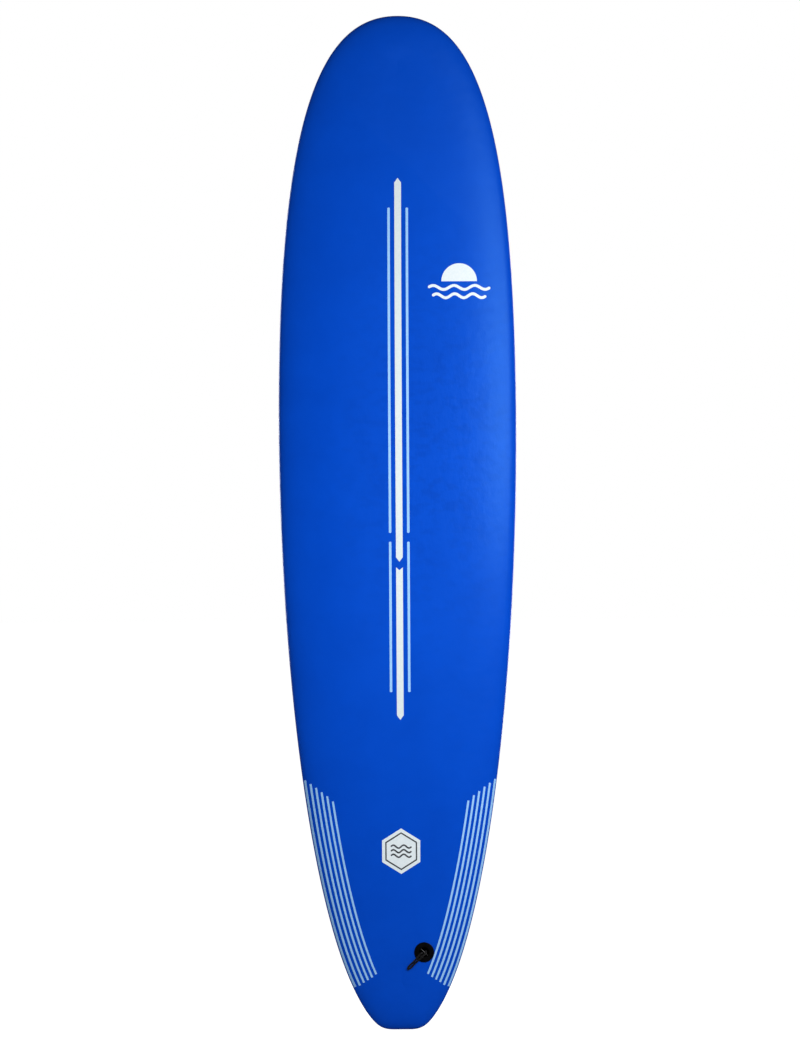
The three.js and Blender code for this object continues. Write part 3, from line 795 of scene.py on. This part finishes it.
def hexagon(inset):
    """The corners of the badge's hexagon, shrunk towards its middle."""
    scale = 1 - inset / BADGE_HALF
    corners = [(0, BADGE_HIGH), (BADGE_HALF, BADGE_SHOULDER), (BADGE_HALF, -BADGE_SHOULDER)]
    corners += [(-x, -z) for x, z in corners]
    return np.array(corners) * scale + (PRINT_CENTRE, BADGE_Z)


def wave(x, z, width, height, turns, half_width):
    """A wavy ribbon, centred on (x, z)."""
    t = np.linspace(0, 1, 32 * turns + 1)
    path = np.stack([x + width * (t - 0.5), z + height * np.sin(2 * math.pi * turns * t)], -1)
    return ribbon(path, half_width)


shoulder_drop = BADGE_HIGH - BADGE_SHOULDER
plate = bar(PRINT_CENTRE, BADGE_HALF, rim(BADGE_Z - BADGE_HIGH, -shoulder_drop),
            rim(BADGE_Z + BADGE_HIGH, shoulder_drop), 19)
printed("badge_plate", [plate], WHITE_INK)
outer, inner = hexagon(KEYLINE_INSET), hexagon(KEYLINE_INSET + 2 * KEYLINE_HALF)
ring = []
for i in range(6):
    for t in np.linspace(0, 1, 8, endpoint=False):
        j = (i + 1) % 6
        ring.append([outer[i] + (outer[j] - outer[i]) * t, inner[i] + (inner[j] - inner[i]) * t])
printed("badge_keyline", [(np.array(ring), True)], DARK_INK, low=INK_LOW, high=INK_HIGH)
badge_waves = [wave(PRINT_CENTRE, BADGE_Z + z, 50, 3.6, 2, 1.9) for z in (11, 0, -11)]
printed("badge_waves", badge_waves, DARK_INK, low=INK_LOW, high=INK_HIGH)

# The nose mark is a plain half sun over two waves.
MARK_X, MARK_Z, SUN_RADIUS = 148.0, 1801.0, 43.0


def sun_edge(u):
    return MARK_Z + SUN_RADIUS * math.sqrt(max(0.0, 1 - u * u)) + 0.2


sun = bar(MARK_X, SUN_RADIUS, rim(MARK_Z, 0), sun_edge, 41, round_top=True)
mark_waves = [wave(MARK_X, MARK_Z - drop, 166 - drop, 4.8, 3, 3.4) for drop in (15, 35)]
printed("nose_mark", [sun, *mark_waves], WHITE_INK)

# ------------------------------------------------------------------------ fins
ROOT_THICKNESS, TIP_THICKNESS, BLUNT = 9.0, 4.0, 1.6
BLUNT_SHARE, TRAILING_SHARE = 0.11, 0.012
BLADE_ROWS, BLADE_AROUND = 56, 30
# A foil's half thickness, as factors of the square root of the way along it, and of its powers.
FOIL_ROOT, FOIL_POWERS = 0.2969, (-0.126, -0.3516, 0.2843, -0.1015)
# The blade's outline, as shares of its base forward of the middle, and of its depth.
FIN_FRONT = np.array([(0.5, 0), (0.34, 0.42), (-0.04, 0.86), (-0.46, 1)])
FIN_BACK = np.array([(-0.5, 0), (-0.35, 0.3), (-0.43, 0.7), (-0.62, 0.94)])
TIP_ROUND = 0.05


def bezier(points, t):
    a, b, c, d = points
    return (1 - t) ** 3 * a + 3 * (1 - t) ** 2 * t * b + 3 * (1 - t) * t**2 * c + t**3 * d


def blade(base, depth, cant, side, **_):
    """A fin's blade in its local frame: foil sections from the root to a rounded tip."""
    lean = side * math.tan(math.radians(cant))
    turn = np.linspace(-1, 1, 2 * BLADE_AROUND + 1)[:-1]
    along = (1 - np.cos(turn * math.pi)) / 2
    foil = FOIL_ROOT * np.sqrt(along)
    for power, factor in enumerate(FOIL_POWERS, 1):
        foil += factor * along**power
    foil *= 5
    rows = []
    shares = 1 - (1 - np.linspace(0, 1, BLADE_ROWS)) ** 1.35
    for share in shares:
        thickness = ROOT_THICKNESS + (TIP_THICKNESS - ROOT_THICKNESS) * share
        beyond = max(0.0, (share - 1 + TIP_ROUND) / TIP_ROUND)
        slim = math.sqrt(1 - 0.94 * beyond**2)
        front = bezier(FIN_FRONT, share) * (base, depth)
        back = bezier(FIN_BACK, share) * (base, depth)
        middle = (front + back) / 2
        front = middle + (front - middle) * (0.6 + 0.4 * slim)
        back = middle + (back - middle) * (0.6 + 0.4 * slim)
        blunt = BLUNT / 2 * np.minimum(1, along / BLUNT_SHARE)
        edge = np.sqrt(np.clip((1 - along) / TRAILING_SHARE, 0, 1))
        half = np.sign(turn) * np.maximum(foil * thickness, blunt) * np.minimum(1, edge) * slim
        point = front + (back - front) * along[:, None]
        rows.append(np.stack([half + lean * point[:, 1], point[:, 1] + GAP, point[:, 0]], -1))
    start, end = rows[0].mean(0), rows[-1].mean(0)
    rows = [np.tile(start, (len(turn), 1)), *rows, np.tile(end, (len(turn), 1))]
    return np.concatenate(rows), grid_faces(len(rows), len(turn), close_columns=True)


def screw_frame(shape, z):
    """The place of a screw: its +Y rises out of the box and leans over its mouth."""
    origin, axes = shape["place"]
    side = shape["side"]
    tilt = SCREW_TILT * side
    up = math.cos(tilt) * axes[1] + math.sin(tilt) * axes[0]
    across = math.cos(tilt) * axes[0] - math.sin(tilt) * axes[1]
    return origin + axes[0] * HOLE_MOUTH * side + axes[2] * z, np.stack([across, up, axes[2]])


for name, shape in FINS.items():
    place = shape["place"]
    plinth_rows = soften(slab(PLINTH_WIDTH, GAP, PLINTH_HEIGHT + GAP), {1: 0.3, 2: 1.2})
    tab_rows = soften(slab(TAB_WIDTH, -TAB_DEPTH, PLINTH_HEIGHT / 2), {1: 0.8})
    parts = [blade(**shape), stadium(shape["base"], PLINTH_WIDTH, plinth_rows, 24)]
    for z in TABS:
        points, faces = stadium(TAB_LENGTH, TAB_WIDTH, tab_rows, 12)
        parts.append((points + (0, 0, z), faces))
    first, *others = [placed(part, place) for part in parts]
    mesh = solid(f"fin_blade_{name}", first, add=others)
    piece = link(f"fin_blade_{name}", mesh, FIN_PLASTIC, f"fin_{name}")
    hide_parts(f"fin_{name}")

    box_rows = soften(slab(BOX_WIDTH, -BOX_DEPTH, 0), {1: 1.0, 2: 0.6})
    box = placed(stadium(BOX_LENGTH, BOX_WIDTH, box_rows, 32), place)
    cutters = []
    for z in TABS:
        slot = block(TAB_WIDTH + 2 * GAP, 1, -SLOT_DEPTH, TAB_LENGTH + 2 * GAP, z)
        cutters.append(placed(slot, place))
        hole = turned(rod(HOLE_RADIUS, -HOLE_DEPTH, 3), 48)
        cutters.append(placed(hole, screw_frame(shape, z)))
    mesh = solid(f"fin_socket_{name}", box, cut=cutters)
    piece = link(f"fin_socket_{name}", mesh, BLACK_PLASTIC, "board")
    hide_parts(f"fin_box_{name}")

    for end, z in zip(("front", "rear"), TABS):
        top, bottom = -SCREW_SINK, -SCREW_SINK - SCREW_LENGTH
        shaft = turned(soften(rod(SCREW_RADIUS, bottom, top), {1: 0.5, 2: 0.4}), 48)
        socket = turned(rod(SOCKET_RADIUS, top - SOCKET_DEPTH, 1), 6)
        where = screw_frame(shape, z)
        mesh = solid("screw", placed(shaft, where), cut=[placed(socket, where)])
        piece = link(f"clamp_screw_{name}_{end}", mesh, STEEL, "board")
        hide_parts(f"fin_screw_{name}_{end}")

# ------------------------------------------------------------------ leash plug
cup_path = soften(
    [(0, BOLT_TOP + 1), (BOLT + GAP, BOLT_TOP + 1), (BOLT + GAP, -STEM_DEPTH), (STEM, -STEM_DEPTH),
     (STEM, -CUP_DEPTH), (CUP_BODY, -CUP_DEPTH), (CUP_BODY, -FLANGE_SINK), (FLANGE, -FLANGE_SINK),
     (FLANGE, FLANGE_RISE), (CUP_MOUTH, FLANGE_RISE), (CUP_BORE, FLANGE_RISE - 1.5),
     (CUP_BORE, CUP_FLOOR), (0, CUP_FLOOR)],
    {5: 1.0, 8: 1.3, 9: 0.5, 10: 0.5, 11: 3.0}, 6)


def across_cup(profile):
    """A lathe solid whose axis is the pin's."""
    points, faces = turned(profile, 48)
    return placed((points[:, [0, 2, 1]] + (0, -PIN_DEPTH, 0), faces), PLUG)


pin_hole = across_cup(rod(PIN_RADIUS + GAP, -PIN_HALF - GAP, PIN_HALF + GAP))
cup_mesh = solid("plug_cup", placed(turned(cup_path), PLUG), cut=[pin_hole])
cup = link("plug_cup", cup_mesh, BLACK_PLASTIC, "board")
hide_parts("leash_plug_cup")

# The pin takes the steel whose colour is darkened as painted shade.
pin_shape = across_cup(soften(rod(PIN_RADIUS, -PIN_HALF, PIN_HALF), {1: 0.4, 2: 0.4}))
pin = link("plug_pin", solid("plug_pin", pin_shape), SHADED_PIN_STEEL, "board")
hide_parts("leash_plug_pin")

anchor_under, anchor_over = PLUG_BOTTOM - ANCHOR_RISE, PLUG_BOTTOM + ANCHOR_SINK
anchor_path = soften(
    [(0, PLUG_BOTTOM - 1), (6, PLUG_BOTTOM - 1), (7, anchor_under), (ANCHOR_RADIUS, anchor_under),
     (ANCHOR_RADIUS, anchor_over), (BOLT, anchor_over), (BOLT, BOLT_TOP), (0, BOLT_TOP)],
    {1: 0.4, 2: 0.4, 3: 1.1, 6: 0.5}, 6)
anchor_mesh = solid("plug_anchor", placed(turned(anchor_path), PLUG))
anchor = link("plug_anchor", anchor_mesh, BLACK_PLASTIC, "board")
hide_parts("leash_plug_anchor")

# The cord's closed path: under the pin, up both its sides, and out over the flange as two strands.
WRAP = PIN_RADIUS + CORD_RADIUS + GAP
ON_FLANGE = FLANGE_RISE + CORD_RADIUS + 2 * GAP
PIN_Y = -PIN_DEPTH
CORD_PATH = np.array([
    (0, PIN_Y - WRAP - 0.1, 0),
    (WRAP * 0.8, PIN_Y - WRAP * 0.66, 1),
    (WRAP + 0.2, PIN_Y, 2.2),
    (WRAP + 0.9, PIN_Y + 4.5, 3.2),
    (WRAP + 3.4, PIN_Y + 9.4, 4),
    (15.5, ON_FLANGE, 4),
    (26, ON_FLANGE - 0.3, 2.7),
    (38, ON_FLANGE - 1.6, 2.6),
    (49, ON_FLANGE - 2.6, 2.9),
    (56.5, ON_FLANGE - 2.8, 0),
    (49, ON_FLANGE - 2.6, -2.9),
    (38, ON_FLANGE - 1.6, -2.6),
    (26, ON_FLANGE - 0.3, -2.7),
    (13.5, ON_FLANGE - 0.1, -3.9),
    (5, PIN_Y + WRAP + 3, -4),
    (-2, PIN_Y + WRAP + 0.1, -3.4),
    (-WRAP - 0.1, PIN_Y + 0.5, -2),
    (-WRAP * 0.74, PIN_Y - WRAP * 0.72, -0.9),
])
CORD_ROWS, CORD_AROUND = 720, 40
KNOT_STEPS = 60
BRAID_DEPTH, BRAID_PITCH, BRAID_STRANDS = 0.2, 5.2, 8


def through(knots, rows):
    """A closed centripetal curve through the knots, evenly spaced."""
    curve = []
    for i in range(len(knots)):
        a, b, c, d = (knots[(i + k) % len(knots)] for k in (-1, 0, 1, 2))
        gap_a, gap_b, gap_c = (math.sqrt(np.linalg.norm(q - p)) for p, q in ((a, b), (b, c), (c, d)))
        out = ((b - a) / gap_a - (c - a) / (gap_a + gap_b) + (c - b) / gap_b) * gap_b
        into = ((c - b) / gap_b - (d - b) / (gap_b + gap_c) + (d - c) / gap_c) * gap_b
        t = np.linspace(0, 1, KNOT_STEPS, endpoint=False)[:, None]
        squared, cubed = 3 * (c - b) - 2 * out - into, 2 * (b - c) + out + into
        curve.append(b + out * t + squared * t**2 + cubed * t**3)
    curve = np.concatenate([*curve, knots[:1]])
    run = length_along(curve)
    even = np.linspace(0, run[-1], rows, endpoint=False)
    return np.stack([np.interp(even, run, curve[:, k]) for k in range(3)], -1), run[-1]


def braided(knots):
    """A braided cord along a closed path: strands wind both ways and cross over one another."""
    centre, length = through(knots, CORD_ROWS)
    along = np.roll(centre, -1, 0) - np.roll(centre, 1, 0)
    along /= np.linalg.norm(along, axis=1, keepdims=True)
    normals = [np.cross(along[0], (0.3, 0.2, 1.0))]
    for t in along[1:]:
        normals.append(normals[-1] - t * np.dot(normals[-1], t))
        normals[-1] /= np.linalg.norm(normals[-1])
    normals[0] /= np.linalg.norm(normals[0])
    normals = np.array(normals)
    binormals = np.cross(along, normals)
    closing = math.atan2(np.dot(normals[0], binormals[-1]), np.dot(normals[0], normals[-1]))
    turns = round(length / BRAID_PITCH / BRAID_STRANDS * 2)
    share = np.arange(CORD_ROWS)[:, None] / CORD_ROWS
    angle = np.linspace(0, 2 * math.pi, CORD_AROUND, endpoint=False) + closing * share
    seen = angle - closing * share
    run = 2 * math.pi * turns * share
    one = BRAID_STRANDS / 2 * (seen + run)
    other = BRAID_STRANDS / 2 * (seen - run)
    over = 0.5 + 0.5 * np.sin(one) * np.sin(other)
    strand = over * np.abs(np.cos(one)) + (1 - over) * np.abs(np.cos(other))
    radius = CORD_RADIUS * (1 - BRAID_DEPTH * (1 - strand))
    angle = angle[..., None]
    offset = np.cos(angle) * normals[:, None] + np.sin(angle) * binormals[:, None]
    grid = centre[:, None] + offset * radius[..., None]
    faces = grid_faces(CORD_ROWS, CORD_AROUND, close_rows=True, close_columns=True)
    return grid.reshape(-1, 3), faces


cord_mesh = mesh_from("cord_loop", *placed(braided(CORD_PATH), PLUG))
cord = link("cord_loop", cord_mesh, CORD, "leash_loop")
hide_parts("leash_loop")

# ------------------------------------------------- the core and its stringers
for name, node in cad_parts.items():
    for kind, material in (("core", CORE_FOAM), ("stringer", PLYWOOD)):
        if name.startswith(kind):
            node.data.materials.clear()
            node.data.materials.append(material)

# ----------------------------------------------------------- stage and camera
# From here on, lengths are in metres.
FLOOR_REACH, FLOOR_Z = 120.0, -0.0005
floor_corners = [(x * FLOOR_REACH, y * FLOOR_REACH, FLOOR_Z)
                 for x, y in ((-1, -1), (1, -1), (1, 1), (-1, 1))]
floor_mesh = bpy.data.meshes.new("floor")
floor_mesh.from_pydata(floor_corners, [], [(0, 1, 2, 3)])
floor = bpy.data.objects.new("floor", floor_mesh)
bpy.context.scene.collection.objects.link(floor)
floor.visible_glossy = False

# The floor and the backdrop both read as one pale sweep, and neither shows in the board's sheen.
paint = Shader("floor_paint", Roughness=0.9, Specular_IOR_Level=0.0)
paint.surface.inputs["Emission Color"].default_value = (1, 1, 1, 1)
camera_ray = paint.node("LightPath", "Is Camera Ray")
mottle = paint.noise(0.6, detail=2)
glow = paint.spread(camera_ray, 0.0, 0.92, 0, 1)
grey = paint.colour(mottle, (0.42, 0.42, 0.42), (0.44, 0.44, 0.44))
floor_mesh.materials.append(paint.finish(Emission_Strength=glow, Base_Color=grey))

world = bpy.data.worlds.new("studio")
bpy.context.scene.world = world
world.use_nodes = True
world.cycles.sampling_method = "NONE"  # so that only the kinds of ray below meet the world
background = world.node_tree.nodes["Background"]
path = world.node_tree.nodes.new("ShaderNodeLightPath")
AMBIENT = 0.3
ambient = world.node_tree.nodes.new("ShaderNodeMath")
ambient.operation = "MULTIPLY"
ambient.inputs[1].default_value = AMBIENT
most = world.node_tree.nodes.new("ShaderNodeMath")
most.operation = "MAXIMUM"
links = world.node_tree.links
links.new(path.outputs["Is Diffuse Ray"], ambient.inputs[0])
links.new(path.outputs["Is Camera Ray"], most.inputs[0])
links.new(ambient.outputs[0], most.inputs[1])
links.new(most.outputs[0], background.inputs["Strength"])
background.inputs["Color"].default_value = (1, 1, 1, 1)


def softbox(name, place, target, size, power, sheen=True):
    """A rectangular light that the camera doesn't see, and glossy surfaces only if it gives sheen."""
    light = bpy.data.lights.new(name, "AREA")
    light.shape, light.size, light.size_y = "RECTANGLE", *size
    light.energy = power
    lamp = bpy.data.objects.new(name, light)
    lamp.location = place
    lamp.rotation_euler = (Vector(target) - Vector(place)).to_track_quat("-Z", "Y").to_euler()
    lamp.visible_camera = False
    lamp.visible_glossy = sheen
    bpy.context.scene.collection.objects.link(lamp)


def round_board(azimuth, height, distance):
    """A point at a height and a distance; azimuth 0 faces the deck and 90 the right rail."""
    turn = math.radians(azimuth)
    return (distance * math.sin(turn), -distance * math.cos(turn), height)


# The key makes the sheen down the deck's right third. The fill is brightest half way up the deck,
# and leaves no sheen.
softbox("key", round_board(44, 1.48, 2.0), (0, 0, 1.48), (1.3, 0.6), 18)
softbox("fill", round_board(8, 1.25, 1.7), (0, 0, 1.25), (1.0, 1.0), 19, sheen=False)
softbox("back_left", round_board(218, 1.7, 3.8), (0, 0, 1.0), (1.0, 1.8), 58)
softbox("back_right", round_board(140, 1.3, 3.8), (0, 0, 1.0), (0.8, 1.6), 38)

# The camera looks square on at the deck, a touch from its left, with the nose leaning a touch left.
DISTANCE, AZIMUTH, ROLL = 30.0, math.radians(-2.9), math.radians(0.37)
VIEW_CENTRE = Vector((0.0043, 0.03, 1.2293))
VIEW_HEIGHT, SENSOR = 2.503, 36
camera_data = bpy.data.cameras.new("camera")
camera_data.sensor_width = SENSOR
camera_data.lens = SENSOR * DISTANCE / VIEW_HEIGHT
camera_data.clip_end = 300
camera = bpy.data.objects.new("camera", camera_data)
bpy.context.scene.collection.objects.link(camera)
back = Vector((math.sin(AZIMUTH), -math.cos(AZIMUTH), 0))
camera.location = VIEW_CENTRE + back * DISTANCE
camera.rotation_euler = (
    (-back).to_track_quat("-Z", "Y").to_matrix() @ Matrix.Rotation(-ROLL, 3, "Z")
).to_euler()
bpy.context.scene.camera = camera
bpy.context.scene.view_settings.view_transform = "Standard"
